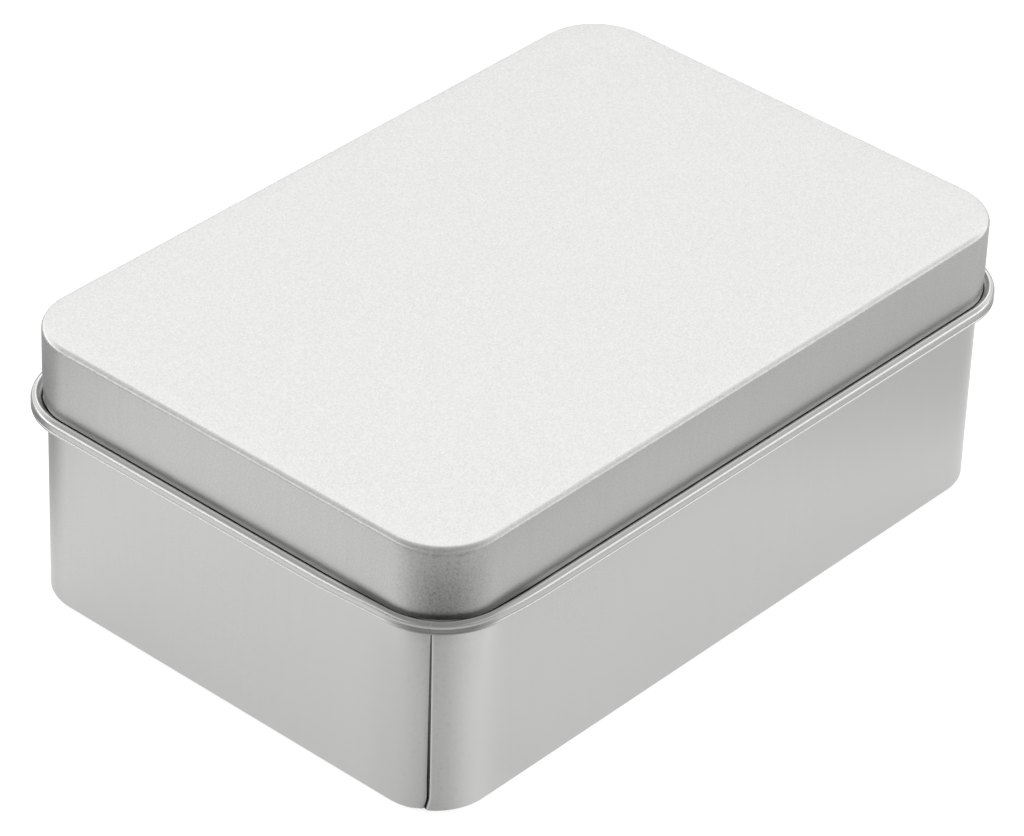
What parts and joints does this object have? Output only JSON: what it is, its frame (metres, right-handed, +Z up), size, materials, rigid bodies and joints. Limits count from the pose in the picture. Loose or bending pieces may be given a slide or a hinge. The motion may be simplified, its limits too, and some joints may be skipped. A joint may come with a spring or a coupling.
{
  "type": "storage tin",
  "caption": "Rectangular tinplate tin with round corners and a lift-off slip lid, which stands on a rolled bead round the wall; for papers and keepsakes.",
  "frame": {"origin": "centre of the tin's outline, on the plane that it stands on", "axes": "+X along the long side, +Y along the short side, +Z up, the way the lid lifts off"},
  "size_m": [0.1542, 0.105, 0.055],
  "materials": {
    "lid_tinplate": "frosted, fine grain",
    "wall_tinplate": "satin",
    "panel_tinplate": "satin"
  },
  "bodies": {
    "case": {"body_wall": "wall_tinplate", "bottom_panel": "panel_tinplate"},
    "lid": {"lid": "lid_tinplate"}
  },
  "joints": [
    {"name": "lid_lift", "type": "slide", "parent": "case", "child": "lid", "axis": [0, 0, 1], "range_m": [0, 0.06]}
  ]
}
